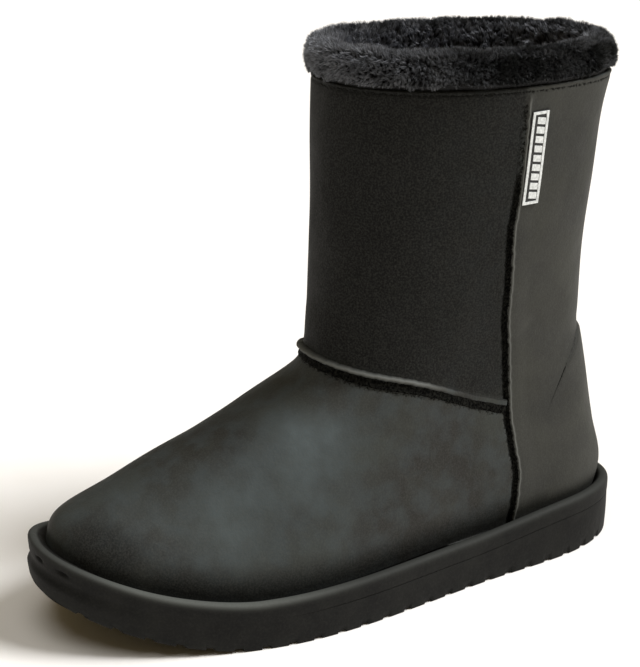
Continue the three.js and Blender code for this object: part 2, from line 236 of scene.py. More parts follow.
# Foam from the mould has a dull skin with a fine pebble; the top of the lip is painted paler as a painted
# highlight.
sole_foam, tree, shader = new_material("moulded_foam_sole", Roughness=0.7, IOR=1.45,
                                       Specular_IOR_Level=0.17)
body = blend_colours(tree, between(tree, grains(tree, 14, 4), 0.35, 0.65, 0, 1),
                     colour("#111110"), colour("#191917"))
# Painted highlight: the top of the lip is blended towards a paler grey.
lip_highlight = blend_colours(tree, named(tree, "lip_highlight"), body, colour("#51534f"))
mottled = between(tree, grains(tree, 1.1, 4), 0.45, 0.8, 0, 0.2)
mottled = blend_colours(tree, mottled, lip_highlight, colour("#3a3a34"))
# Painted shade: the toe slots are painted near black, for the shade in their recesses.
slot_shaded = blend_colours(tree, named(tree, "slot"), mottled, colour("#050505"))
tree.links.new(slot_shaded, shader.inputs["Base Color"])
bumps(tree, shader, (grains(tree, 5, 2), 0.25), (grains(tree, 0.8, 2), 0.06))


def groove_at(mark):
    """1 in a groove and 0 on a bar, for a place measured along the middle line of the chevrons."""
    away = np.abs((mark - FIRST_GROOVE + BAR_PITCH / 2) % BAR_PITCH - BAR_PITCH / 2)
    within = (mark > FIRST_GROOVE - BAR_PITCH / 2) & (mark < FIRST_GROOVE + (GROOVES - 0.5) * BAR_PITCH)
    return np.where(within, 1 - smooth(GROOVE_WIDE / 2 - 0.15, GROOVE_WIDE / 2 + 0.35, away), 0)


def mark_of(along, side):
    return along - CHEVRON * (1 - np.abs(side) / CHEVRON_WING)


def sole_turns(marks, inner):
    """Turns at which each chevron line meets the outline."""
    def measure(turn):
        share, side = outline(SOLE, 2 * np.pi - turn if inner else turn)
        return mark_of(share * LENGTH, side) - marks
    turns = solve(measure, np.zeros(len(marks)), np.full(len(marks), np.pi))
    return 2 * np.pi - turns if inner else turns


def sole_edge(turn, inset):
    """Distance along and to the side of the outline drawn in by an inset."""
    step = 1e-3
    share, side = outline(SOLE, turn)
    (share_on, side_on), (share_off, side_off) = outline(SOLE, turn + step), outline(SOLE, turn - step)
    run = np.stack([(share_on - share_off) * LENGTH, side_on - side_off])
    run /= np.linalg.norm(run, axis=0)
    return share * LENGTH + run[1] * inset, side - run[0] * inset


def sole_rows():
    """The side from the tread up and over the lip: inset, share of the way up, and what to add."""
    rows = [(1.6, 0, 0), (1.2, 0, 0.35), (1.0, 0, 1.2)]
    for share in np.linspace(0, 1, 12)[1:]:
        rows.append((1.0 - 0.65 * share - 0.2 * math.sin(math.pi * share), share, 1.2 - 11 * share))
    rows += [(0.38, 1, -PARTING_DOWN + up) for up in (-0.6, -0.3)]
    rows += [(0.34, 1, -PARTING_DOWN), (0.3, 1, -PARTING_DOWN + 0.3), (0.25, 1, -PARTING_DOWN + 0.6)]
    rows += [(0.28 * up / 7.2, 1, -3.4 - 0.95 * up) for up in (4, 3.2, 2.5, 1.8, 1.2, 0.6)]
    for angle in np.radians(np.linspace(0, 90, 10)):
        inward, upward = (1 - math.cos(angle)) ** 1.25, math.sin(angle) ** 0.85
        rows.append((LIP_WIDE * inward, 1, LIP_TALL * (upward - 1)))
    inner_slope = ((3.6, -0.1), (4.7, -0.5), (5.6, -1.2), (6.4, -2.1), (7.2, -3.2), (9.0, -FOOTBED_DOWN))
    return rows + [(inset, 1, up) for inset, up in inner_slope]


heel_mark, toe_mark = mark_of(0, 0), mark_of(LENGTH, SOLE["toe_in"])
marks = heel_mark + (toe_mark - heel_mark) * (1 - np.cos(np.linspace(0, np.pi, 171)[1:-1])) / 2
middles = FIRST_GROOVE + BAR_PITCH * np.arange(GROOVES)
sides = [middles + side for side in (-2.15, -1.65, 1.65, 2.15)]
marks = np.unique(np.concatenate([marks, *sides]).round(2))
rungs = len(marks)
outer_turns, inner_turns = sole_turns(marks, False), sole_turns(marks, True)
turns = np.concatenate([[0], outer_turns, [np.pi], inner_turns[::-1]])
around = len(turns)
groove = groove_at(mark_of(*[v * s for v, s in zip(outline(SOLE, turns), (LENGTH, 1))]))
TOE_SLOTS = (1.5, 14.8)  # to the side
TOE_DRAWN_IN, TOE_FILLED = 1.5, 2.4  # the lip leans back at the toe, and fills the gap behind it
SLOT_DOWN, SLOT_WIDE, SLOT_TALL, SLOT_DEEP = 4.7, 2.4, 0.8, 1.4

wall_rings, lip_highlight_rings, slot_rings = [], [], []
for inset, share, up in sole_rows():
    drawn_in = inset + 0.6 * groove * float(share < 0.15)
    along, side = sole_edge(turns, drawn_in)
    height = (1 - share) * tread_up(along) + share * lip_up(along) + up
    toe = smooth(245, 282, along)
    recess = WALL_RECESS * smooth(2.6, 4.0, lip_up(along) - height) * smooth(130, 200, along)
    recess = recess * (1 - smooth(240, 275, along))
    along, side = sole_edge(turns, drawn_in + recess + TOE_DRAWN_IN * toe * smooth(0.6, 1, share))
    height += (TOE_FILLED * toe - heel_rise(along)) * smooth(5, 8, inset)
    height += GROOVE_EDGE_DEEP * groove * max(0, 1 - (up if share == 0 else 1) / 1.6) * (share == 0)
    if share == 1 and abs(up + PARTING_DOWN) < 0.1:
        parting = 0.55 * (1 - smooth(150, 215, along))
        along, side = sole_edge(turns, inset + parting + recess + TOE_DRAWN_IN * toe)
    below_lip = (lip_up(along) - height - SLOT_DOWN) / SLOT_TALL
    slot = sum(np.exp(-(((side - at) / SLOT_WIDE) ** 2 + below_lip**2) ** 2) for at in TOE_SLOTS)
    slot = slot * (along > 270)
    along = along - SLOT_DEEP * slot
    # The slot values carry the painted shade of the toe slots.
    slot_rings.append(slot)
    wall_rings.append(place(along, side, height))
    # Painted highlight on the top of the lip's bead: strongest over the forefoot, fainter at the heel and
    # the toe.
    on_lip = math.exp(-((up / 1.9) ** 2)) if share == 1 and inset < 4.5 else 0.0
    lip_highlight_rings.append(on_lip * (0.3 + 0.7 * smooth(150, 215, along)) * (1 - 0.6 * smooth(255, 290, along)))
rings = len(wall_rings)
across = 30
weights = np.linspace(0, 1, across + 2)[1:-1]


def rung_points(ring):
    outer, inner = ring[1:rungs + 1], ring[:rungs + 1:-1]
    side = outer[:, None, 0] + (inner[:, None, 0] - outer[:, None, 0]) * weights - SIDE_SHIFT
    edge = np.minimum(weights, 1 - weights) * np.abs(outer[:, None, 0] - inner[:, None, 0])
    along = np.broadcast_to(marks[:, None] + CHEVRON * (1 - np.abs(side) / CHEVRON_WING), side.shape)
    ends = along_of(outer)[:, None] + (along_of(inner) - along_of(outer))[:, None] * weights
    nearly = smooth(0, 6, np.minimum(marks - heel_mark, toe_mark - marks))[:, None]
    return ends + (along - ends) * nearly, side, edge


along, side, edge = rung_points(wall_rings[0])
deep = groove_at(marks)[:, None] * np.where(
    (marks > ARCH_FROM - BAR_PITCH) & (marks < ARCH_TO), GROOVE_EDGE_DEEP, GROOVE_DEEP)[:, None]
shallow = groove_at(marks)[:, None] * GROOVE_EDGE_DEEP
inside_rim = smooth(GROOVE_RIM - 3.5, GROOVE_RIM - 2, edge)
arch = ARCH_DEEP * smooth(ARCH_FROM - 1, ARCH_FROM + 1, along) * smooth(-ARCH_TO - 1, -ARCH_TO + 1, -along)
arch *= smooth(ARCH_RIM - 4, ARCH_RIM - 2, edge)
bottom = place(along, side, tread_up(along) + np.maximum(shallow + (deep - shallow) * inside_rim, arch))
along, side, edge = rung_points(wall_rings[-1])
footbed = place(along, side, bed_up(along) - FOOTBED_DOWN)

points = np.concatenate([np.concatenate(wall_rings), bottom.reshape(-1, 3), footbed.reshape(-1, 3)])
faces = grid_faces(rings, around)
for ring, start in ((0, rings * around), (rings - 1, rings * around + bottom.size // 3)):
    first = ring * around
    outer, inner = first + 1 + np.arange(rungs), first + around - 1 - np.arange(rungs)
    middle = start + np.arange(rungs * across).reshape(rungs, across)
    faces += rung_faces(first, np.column_stack([outer, middle, inner]), first + rungs + 1)
flat = np.zeros(bottom.size // 3 + footbed.size // 3)
values = {"lip_highlight": np.concatenate([*lip_highlight_rings, flat]), "slot": np.concatenate([*slot_rings, flat])}
sole = make_piece("sole_moulding", points, faces, [sole_foam], values)
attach(sole, "root")
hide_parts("sole")


# ---- Shell ----
# Foot and shaft are moulded as one skin of foam, 3 mm thick, with a flocked, suede-like face.
# The back panel laps over the front along both side seams, and a low bead finishes the rim.

SHELL_WALL = 3.0
COLUMNS = ("back", "back_up", "front", "front_up", "heel_half", "ball_half", "waist", "heel_end",
           "toe_start", "toe_in")
LEVELS = np.array([
    (9.6, -3.7, 286.4, -3.7, 28.9, 48.3, 4.5, 0.22, 0.61, 7.9),  # tucked inside the lip
    (5.8, 14.6, 280.4, 11.7, 32.0, 49.6, 4.0, 0.23, 0.61, 7.8),
    (10.7, 35.7, 258.1, 29.0, 32.1, 46.4, 4.0, 0.23, 0.59, 7.8),
    (15.4, 61.0, 233.6, 46.7, 31.5, 41.3, 3.0, 0.25, 0.55, 6.7),
    (20.4, 87.9, 200.7, 62.8, 33.1, 37.8, 1.0, 0.31, 0.52, 3.3),  # over the instep
    (21.5, 111.9, 165.4, 81.6, 36.3, 37.8, 0.0, 0.38, 0.50, 0.3),
    (20.7, 136.5, 158.1, 109.8, 41.9, 42.8, 0.0, 0.48, 0.50, -0.3),  # top of the ankle
    (18.0, 165.2, 153.7, 150.7, 46.8, 47.9, 0.0, 0.50, 0.50, 0.0),
    (14.8, 191.5, 151.8, 186.2, 49.4, 51.4, 0.0, 0.50, 0.50, 0.8),
    (10.5, 209.8, 148.7, 214.1, 51.1, 54.8, 0.0, 0.50, 0.50, 3.0),  # collar
])
COLLAR = len(LEVELS) - 1
SEAM = ((30, 69), (37, 68), (53, 68), (59, 69.5), (72, 72), (87, 73.5), (97, 74), (118, 76), (128, 78),
        (150, 79), (173, 80.8), (185, 79.2), (207, 78.3), (236, 78.0))  # up and along
SEAM_TOP = 231.0
RIM_LINE_DOWN = 1.6  # a fine line pressed in below the rim
RIB_FRONT_UP, RIB_FRONT_ALONG, RIB_SLOPE = 113.0, 160.0, 0.345
RIB_BOW, RIB_BOW_ALONG, RIB_BOW_SPREAD = 2.7, 121.0, 21.0
# Painted highlights, paler bluish patches on the vamp: strength, then middle and reach along, then middle
# and reach to the side.
PAINTED_HIGHLIGHTS = ((0.8, 212, 22, 31, 14), (0.95, 172, 18, 32, 12), (0.9, 168, 20, 14, 14), (0.4, 256, 14, 6, 16))
# Soft creases: along and up at both ends, half width, and depth; sides are "outer", "inner", "both".
CREASES = (
    ("both", 62, 122, 28, 112, 7.0, 0.9),
    ("both", 118, 118, 150, 132, 9.0, 0.5),
    ("outer", 196, 42, 172, 66, 10.0, 0.5),
    ("inner", 206, 36, 176, 70, 9.0, 0.6),
    ("outer", 100, 150, 110, 205, 12.0, 0.5),
    ("inner", 96, 140, 104, 210, 12.0, 0.5),
    ("both", 55, 45, 40, 68, 8.0, 0.4),
)


def section(level):
    """Every column of the level table at a level between its rows, by Catmull-Rom."""
    level = np.asarray(level, float)
    row = np.clip(np.floor(level).astype(int), 0, COLLAR - 1)
    t = (level - row)[..., None]
    padded = np.concatenate([2 * LEVELS[:1] - LEVELS[1:2], LEVELS, 2 * LEVELS[-1:] - LEVELS[-2:-1]])
    a, b, c, d = (padded[row + step] for step in range(4))
    value = b + 0.5 * t * (c - a + t * (2 * a - 5 * b + 4 * c - d + t * (3 * (b - c) + d - a)))
    return {name: value[..., k] for k, name in enumerate(COLUMNS)}


def shell_face(level, turn):
    row = section(level)
    share, side = outline(row, turn)
    along = row["back"] + (row["front"] - row["back"]) * share
    return place(along, side, bed_up(along) + row["back_up"] + (row["front_up"] - row["back_up"]) * share)


def shell_normal(level, turn):
    step = 1e-3
    upwards = shell_face(level + step, turn) - shell_face(level - step, turn)
    onwards = shell_face(level, turn + step) - shell_face(level, turn - step)
    normal = np.cross(upwards, onwards)
    return normal / np.linalg.norm(normal, axis=-1, keepdims=True)


def off_shell(level, turn, out):
    level, turn, out = np.broadcast_arrays(level, turn, out)
    return shell_face(level, turn) + shell_normal(level, turn) * out[..., None]


def level_at(turn, up, low=0.0, high=float(COLLAR)):
    """Level at which the shell reaches a height, at each turn."""
    turn, up = np.broadcast_arrays(np.asarray(turn, float), up)
    return solve(lambda level: shell_face(level, turn)[..., 2] - up,
                 np.full(turn.shape, low), np.full(turn.shape, high))


def seam_along(up):
    """The seam's own line, a little uneven, as the lapped edge is trimmed by hand."""
    ups, alongs = np.array(SEAM, float).T
    line = sum(np.interp(up + shift, ups, alongs) for shift in (-6, -3, 0, 3, 6)) / 5
    fine = 0.16 * np.sin(up / 0.74) * np.sin(up / 3.7 + 1) + 0.12 * np.sin(up / 1.3 + np.sin(up / 5))
    return line + fine + 0.22 * np.sin(up / 3.1 + 1) * smooth(-110, -50, -up)


def soft_relief(points):
    """Slow unevenness of the skin and its creases."""
    x, y, z = np.moveaxis(points, -1, 0)
    slow = 0.22 * np.sin(x / 17 + z / 23) * np.sin(y / 19 + 1) + 0.16 * np.sin(z / 13 + y / 31 + 2)
    along, side = along_of(points), x - SIDE_SHIFT
    for which, along_from, up_from, along_to, up_to, half, depth in CREASES:
        run = np.array([along_to - along_from, up_to - up_from], float)
        share = ((along - along_from) * run[0] + (z - up_from) * run[1]) / (run @ run)
        near = np.clip(share, 0, 1)
        away = np.hypot(along - along_from - near * run[0], z - up_from - near * run[1])
        on_side = {"outer": side > 0, "inner": side < 0, "both": True}[which]
        slow = slow - depth * np.exp(-((away / half) ** 2)) * on_side
    return slow


def seam_depth(up):
    """How deep the furrow is: full up to the tag's foot, and about a third of that beside the tag."""
    return 1 - 0.65 * smooth(188, 202, up)


def seam_relief(offset, up):
    """Across a side seam: the back panel's edge stands up, and a furrow lies in front of it."""
    lifted = 0.5 * smooth(-12, -2, offset) * (offset < 0.2)
    edge = 0.3 * np.exp(-(((offset + 0.45) / 0.45) ** 2))
    furrow = -1.3 * (smooth(-0.15, 0.4, offset) - smooth(1.6, 4.6, offset))
    stud = 0.8 * np.exp(-(((offset + 0.6) / 1.2) ** 2) - ((up - SEAM_TOP - 0.5) / 1.9) ** 2)
    return (lifted + edge + furrow * seam_depth(up)) * (1 - smooth(SEAM_TOP - 3, SEAM_TOP + 1, up)) + stud


def rib_away(points):
    """How far a point lies above the middle of the ankle rib."""
    along = along_of(points)
    bow = RIB_BOW * np.exp(-(((along - RIB_BOW_ALONG) / RIB_BOW_SPREAD) ** 2))
    return points[..., 2] - (RIB_FRONT_UP - RIB_SLOPE * (RIB_FRONT_ALONG - along) + bow)


OFFSETS = np.array([-9, -6.5, -4.6, -3.2, -2.2, -1.5, -1.0, -0.6, -0.3, 0, 0.25, 0.55, 1.0, 1.6, 2.2, 2.8,
                    3.3, 3.8, 4.5, 5.6, 7.5])  # millimetres from the seam, towards the toe
FRONT_COLUMNS, BACK_COLUMNS = 190, 100

levels = np.concatenate([
    np.linspace(0, 4.4, 80), np.linspace(4.4, 6.3, 46)[1:], np.linspace(6.3, 8.7, 52)[1:],
    COLLAR - np.array([6, 5, 4, 3.4, 3.0, 2.7, 2.4, 2.0, 1.5, 1.0, 0.5, 0]) * 0.045])[:, None]


def seam_turn(level, inner):
    """Turn of the side seam at each level, and the surface's speed there."""
    def full(turn):
        return 2 * np.pi - turn if inner else turn

    def measure(turn):
        points = shell_face(level, full(turn))
        return along_of(points) - seam_along(points[..., 2])
    turn = solve(measure, np.full(level.shape, 0.2), np.full(level.shape, 2.8))
    step = 1e-3
    ahead, behind = shell_face(level, full(turn + step)), shell_face(level, full(turn - step))
    return full(turn), np.linalg.norm(ahead - behind, axis=-1) / (2 * step)


outer_turn, outer_pace = seam_turn(levels, False)
inner_turn, inner_pace = seam_turn(levels, True)
outer_strip = outer_turn + OFFSETS / outer_pace
inner_strip = (inner_turn - OFFSETS / inner_pace)[:, ::-1]
front = np.linspace(0, 1, FRONT_COLUMNS + 2)[1:-1]
back = np.linspace(0, 1, BACK_COLUMNS + 2)[1:-1]
front_turns = outer_strip[:, -1:] + (inner_strip[:, :1] - outer_strip[:, -1:]) * front
back_turns = inner_strip[:, -1:] + (outer_strip[:, :1] + 2 * np.pi - inner_strip[:, -1:]) * back
turns = np.concatenate([outer_strip, front_turns, inner_strip, back_turns], 1)
far = np.full(FRONT_COLUMNS, 99.0)
offset = np.concatenate([OFFSETS, far, OFFSETS[::-1], np.full(BACK_COLUMNS, -99.0)])[None]

skin = shell_face(levels, turns)
up = skin[..., 2]
rib_above = rib_away(skin)
below_rim = shell_face(levels * 0 + COLLAR, turns)[..., 2] - up
in_front = smooth(0.4, 3, offset)
under_rib = 0.6 * np.exp(-(((rib_above + 3.9) / 0.7) ** 2)) * in_front
rim_line = np.exp(-(((below_rim - RIM_LINE_DOWN) / 0.5) ** 2))
relief = soft_relief(skin) + seam_relief(offset, up) - 0.5 * under_rib - 0.35 * rim_line
skin = skin + shell_normal(levels, turns) * relief[..., None]
# The furrow mask paints the seam furrows, the groove under the rib and the rim line near black: rough dark
# nap there, deepened with painted shade.
furrow = (smooth(-0.1, 0.3, offset) - smooth(1.8, 4.8, offset)) * (1 - smooth(SEAM_TOP - 3, SEAM_TOP, up))
furrow = furrow * seam_depth(up)
furrow = np.maximum(furrow, 0.6 * under_rib)
furrow = np.maximum(furrow, 0.5 * rim_line)
# Painted highlight: a paler line along the raised edge of the back panel at each side seam.
edge_highlight = np.exp(-(((offset + 0.5) / 0.5) ** 2)) * (1 - smooth(SEAM_TOP - 2, SEAM_TOP + 3, up))
# The back panel is marked for a lighter tone: painted light from behind the heel.
panel = (offset < 0.1) * np.ones(up.shape)
along, side = along_of(skin), np.abs(skin[..., 0] - SIDE_SHIFT)
# Painted highlight: paler bluish patches where light falls on the vamp, none on the shaft above.
vamp_highlight = 0
for share, at, long, out, wide in PAINTED_HIGHLIGHTS:
    vamp_highlight = vamp_highlight + share * np.exp(-(((along - at) / long) ** 2) - ((side - out) / wide) ** 2)
vamp_highlight = vamp_highlight * (1 - smooth(88, 100, up))
# Painted shade: the shaft above the rib, the foot just above the sole, the low outer toe and the back near
# the sole are painted darker.
painted_shade = (0.85 + 0.13 * smooth(95, 145, along)) * smooth(0, 6, rib_above) * in_front
foot_edge = (1 - smooth(3, 17, up - lip_up(along))) * in_front * (1 - smooth(240, 275, along))
painted_shade = np.maximum(painted_shade, 0.75 * foot_edge)
low_toe = smooth(240, 266, along) * (1 - smooth(16, 28, up - lip_up(along)))
painted_shade = np.maximum(painted_shade, 0.75 * low_toe * smooth(-6, 16, skin[..., 0]))
painted_shade = np.maximum(painted_shade, 0.5 * (1 - smooth(1, 9, up - lip_up(along))) * (1 - in_front))

inner_levels = np.concatenate([[COLLAR - 0.02], np.linspace(COLLAR - 0.3, 0, 30)])[:, None]
lining_turns = np.repeat(turns[-1:], len(inner_levels), 0)
lining = off_shell(inner_levels, lining_turns, -SHELL_WALL)
rim_top = off_shell(levels[-1:], turns[-1:], -0.9) + [0, 0, 0.5]
rows = len(levels) + 1 + len(inner_levels)
columns = turns.shape[1]
hidden = np.zeros((1 + len(inner_levels), columns))

# Flocked foam: a dull, slightly napped skin, near black with an olive cast, with paler patches at random.
# Painted light is laid over it: the back panel a shade lighter, painted highlights on the vamp, and painted
# shade on the shaft, along the sole and in the grooves.
shell_foam, tree, shader = new_material("flocked_foam_shell", Roughness=0.6, IOR=1.45,
                                        Specular_IOR_Level=0.22)
cloudy = between(tree, grains(tree, 30, 5), 0.36, 0.64, 0, 1)
front_tone = blend_colours(tree, cloudy, colour("#262522"), colour("#323430"))
patchy = between(tree, grains(tree, 10, 3), 0.42, 0.66, 0, 0.55)
front_tone = blend_colours(tree, patchy, front_tone, colour("#373d3e"))
# Painted light: the back panel's tone is a shade lighter than the front's.
lit_panel_tone = blend_colours(tree, cloudy, colour("#2c2c29"), colour("#363631"))
tone = blend_colours(tree, named(tree, "panel"), front_tone, lit_panel_tone)
# Painted highlight: the vamp's patches are blended towards a pale bluish grey.
highlight_share = between(tree, grains(tree, 9, 4), 0.25, 0.75, 0.5, 1)
highlight_share = add(tree, "ShaderNodeMath", {0: highlight_share, 1: named(tree, "vamp_highlight")}, operation="MULTIPLY").outputs[0]
tone = blend_colours(tree, highlight_share, tone, colour("#4a5253"))
# Painted shade: darkens the shaft and the foot along the sole towards near black.
tone = blend_colours(tree, named(tree, "painted_shade"), tone, colour("#0d0d0c"))
mottled = between(tree, grains(tree, 0.8, 5), 0.4, 0.75, 0, 0.3)
tone = blend_colours(tree, mottled, tone, colour("#4c4d48"))
# Painted highlight on raised edges: the seam edges and the top of the ankle rib.
tone = blend_colours(tree, named(tree, "edge_highlight"), tone, colour("#60615d"))
# The furrows are painted near black: dark rough nap, with painted shade in the groove.
nap = between(tree, grains(tree, 1.1, 3), 0.38, 0.62, 0, 1)
nap_and_shade_tone = blend_colours(tree, nap, colour("#030303"), colour("#1e1e1b"))
ragged = add(tree, "ShaderNodeMath", {0: named(tree, "furrow"), 1: between(tree, nap, 0, 1, -0.2, 0.25)})
ragged = between(tree, ragged.outputs[0], 0.25, 0.6, 0, 1)
tone = blend_colours(tree, ragged, tone, nap_and_shade_tone)
tree.links.new(tone, shader.inputs["Base Color"])
# Specular is lowered where shade is painted, and in the furrows.
dulled = add(tree, "ShaderNodeMath", {0: named(tree, "painted_shade"), 1: 0.55}, operation="MULTIPLY").outputs[0]
dulled = add(tree, "ShaderNodeMath", {0: dulled, 1: ragged}, operation="MAXIMUM").outputs[0]
tree.links.new(between(tree, dulled, 0, 1, 0.24, 0.03), shader.inputs["Specular IOR Level"])
rough = between(tree, grains(tree, 22, 3), 0.3, 0.7, 0.58, 0.74)
tree.links.new(rough, shader.inputs["Roughness"])
raised = add(tree, "ShaderNodeMath", {0: nap, 1: ragged}, operation="MULTIPLY").outputs[0]
bumps(tree, shader, (grains(tree, 7, 3), 0.3), (grains(tree, 1.1, 3), 0.09), (raised, 0.6))

points = np.concatenate([skin, rim_top, lining])
values = {"furrow": furrow, "edge_highlight": edge_highlight, "panel": panel, "vamp_highlight": vamp_highlight, "painted_shade": painted_shade}
values = {key: np.concatenate([value, hidden]) for key, value in values.items()}
shell = make_piece("shell", points, grid_faces(rows, columns, True, True), [shell_foam], values)
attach(shell, "root")
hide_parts("upper")


# ---- Ankle rib ----
# Round the front of the ankle, from seam to seam, the shaft's lower edge flares out in a low bead, its top
# painted paler as painted highlight, over a band of rough dark nap deepened with painted shade, which joins
# the furrows of the two side seams.

RIB_TALL, RIB_PROUD, RIB_PROUD_AT_SEAM = 6.9, 3.0, 1.2
RIB_SECTION = np.array([
    (-0.52, -1.6), (-0.5, 0.05), (-0.44, 0.28), (-0.3, 0.34), (-0.08, 0.34), (0.06, 0.38), (0.11, 0.55),
    (0.15, 0.86), (0.22, 1.0), (0.33, 0.98), (0.41, 0.74), (0.46, 0.36), (0.5, 0.05), (0.53, -1.6),
])  # across, and out


def sheet_faces(rows, columns):
    """Faces of a closed sheet: a grid, the same grid turned over behind it, and the rim between."""
    size = rows * columns
    faces = grid_faces(rows, columns, False)
    faces += [tuple(size + v for v in quad[::-1]) for quad in faces]
    rim = [*range(columns), *range(2 * columns - 1, size, columns),
           *range(size - 2, size - columns - 1, -1), *range(size - 2 * columns, 0, -columns)]
    return faces + [(a, b, size + b, size + a) for a, b in zip(rim, rim[1:] + rim[:1])]


def lay_on_shell(name, level, turn, out, material, values):
    """A closed patch on the shell: its face, and a back face sunk into the shell's wall."""
    face = off_shell(level, turn, soft_relief(shell_face(level, turn)) + out)
    sunk = off_shell(level, turn, -1.8)
    faces = sheet_faces(*face.shape[:2])
    values = {key: np.concatenate([value, value]) for key, value in values.items()}
    return make_piece(name, np.concatenate([face, sunk]), faces, [material], values)


ends = [level_at(angle, 86.0, 3.0, 7.0) for angle in (1.3, 5.0)]
seam_ends = [seam_turn(np.array([[float(level)]]), inner) for level, inner in zip(ends, (False, True))]
start_turn = float((seam_ends[0][0] + 0.9 / seam_ends[0][1])[0, 0])
end_turn = float((seam_ends[1][0] - 0.9 / seam_ends[1][1])[0, 0])
rib_turns = np.linspace(start_turn, end_turn, 260)
share = np.abs(np.linspace(-1, 1, 260))
proud = (RIB_PROUD - (RIB_PROUD - RIB_PROUD_AT_SEAM) * share**1.3) * (1 - 0.85 * smooth(0.62, 0.93, share))
section_t = np.linspace(0, len(RIB_SECTION) - 1, 37)
spread = np.interp(section_t, range(len(RIB_SECTION)), RIB_SECTION[:, 0])
stand = np.interp(section_t, range(len(RIB_SECTION)), RIB_SECTION[:, 1])
wobble = 0.1 * np.sin(rib_turns * 37) + 0.08 * np.sin(rib_turns * 83 + 2)
rib_grid = np.broadcast_to(rib_turns, (37, 260))
rib_levels = solve(
    lambda level: rib_away(shell_face(level, rib_grid)) - spread[:, None] * RIB_TALL - wobble,
    np.full(rib_grid.shape, 2.5), np.full(rib_grid.shape, 7.0))
out = stand[:, None] * proud
fading = 1 - smooth(0.62, 0.88, share)
# Painted light on the rib: near black under the bead for dark nap and painted shade, a painted highlight on
# its top that fades towards the seams, and painted shade on the shaft above.
values = {"furrow": (1 - smooth(0.07, 0.15, spread))[:, None] + 0 * out,
          "edge_highlight": 0.9 * np.exp(-(((spread - 0.31) / 0.14) ** 2))[:, None] * fading,
          "painted_shade": 0.85 * smooth(0.4, 0.5, spread)[:, None] + 0 * out}
rib = lay_on_shell("ankle_rib_bead", rib_levels, rib_grid, out, shell_foam, values)
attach(rib, "root")
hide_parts("ankle_rib")


# ---- Heel counter ----
# A raised panel moulded round the back of the heel. Its top edge stands proud behind the ankle
# and runs down and forward on both sides, until it sinks level with the shell.

COUNTER_PEAK, COUNTER_DROP, COUNTER_BEND = 111.5, 53.0, 3.4
COUNTER_REACH = math.radians(54)
COUNTER_THICK, COUNTER_SUNK = 1.15, 0.15

swing = np.linspace(-1, 1, 90)
counter_turns = swing * COUNTER_REACH
top_up = COUNTER_PEAK - COUNTER_DROP * np.abs(swing) ** COUNTER_BEND
top_up = top_up + 0.3 * np.sin(swing * 19)
rise = np.concatenate([np.linspace(0, 0.94, 44), [0.96, 0.975, 0.985, 0.993, 1.0]])[:, None]
counter_grid = np.broadcast_to(counter_turns, (len(rise), len(swing)))
foot_level = np.full(len(swing), 0.12)
top_level = level_at(counter_turns, top_up, 0.0, 6.0)
counter_levels = foot_level + (top_level - foot_level) * rise
aside = np.degrees(np.abs(counter_turns))
standing = (1 - smooth(24, 54, aside)) * (0.7 + 0.3 * smooth(0.2, 0.95, rise))
rounded = 1 - smooth(0.975, 1.0, rise) * 0.9
out = (COUNTER_THICK + COUNTER_SUNK) * standing * rounded - COUNTER_SUNK
# Painted shade: a dark slit along the top edge on each side, a faint dark line along the rest of that edge,
# and darker low down next to the sole; the panel mark gives it the back panel's lighter painted tone.
slit = smooth(36, 40, aside) * (1 - smooth(45, 50, aside)) + 0.12
values = {"furrow": smooth(0.983, 0.99, rise) * slit, "panel": 1 + 0 * out,
          "painted_shade": 0.5 * (1 - smooth(1, 9, shell_face(counter_levels, counter_grid)[..., 2] - 25))}
counter = lay_on_shell("heel_counter_panel", counter_levels, counter_grid, out, shell_foam, values)
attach(counter, "root")
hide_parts("heel_counter")


# ---- Side tag ----
# A small soft label glued to the back panel behind the outer seam: black, with a pale raised
# frame and a plain row of slanted bars.

TAG_TOP, TAG_BOTTOM, TAG_TOP_ALONG, TAG_BOTTOM_ALONG, TAG_WIDE = 226.0, 184.0, 71.7, 74.0, 9.0
TAG_THICK, TAG_RAISED = 0.9, 0.35
FRAME_IN, FRAME_WIDE = 0.3, 1.2


def tag_place(across, upwards, out):
    """A point on the label: millimetres across its width, up its length, and off the shell."""
    up = TAG_BOTTOM + upwards
    tilt = (TAG_TOP_ALONG - TAG_BOTTOM_ALONG) / (TAG_TOP - TAG_BOTTOM)
    along = TAG_BOTTOM_ALONG + tilt * upwards - TAG_WIDE / 2 + across
    level = np.full(np.shape(along), 8.5)
    for _ in range(8):
        turn = solve(lambda angle: along_of(shell_face(level, angle)) - along,
                     np.full(along.shape, 0.3), np.full(along.shape, 2.5))
        level = level_at(turn, up, 5.0)
    return off_shell(level, turn, out + soft_relief(shell_face(level, turn)))


def tag_slab(outline_points, low, high):
    """A flat shape of the label between two heights, given as a grid of places on it."""
    across, upwards = outline_points
    points = np.concatenate([tag_place(across, upwards, high).reshape(-1, 3),
                             tag_place(across, upwards, low).reshape(-1, 3)])
    return points, sheet_faces(*across.shape)


def join_parts(parts):
    points, faces, slots, start = [], [], [], 0
    for (part_points, part_faces), slot in parts:
        points.append(part_points)
        faces += [tuple(start + int(v) for v in face) for face in part_faces]
        slots += [slot] * len(part_faces)
        start += len(part_points)
    return np.concatenate(points), faces, slots


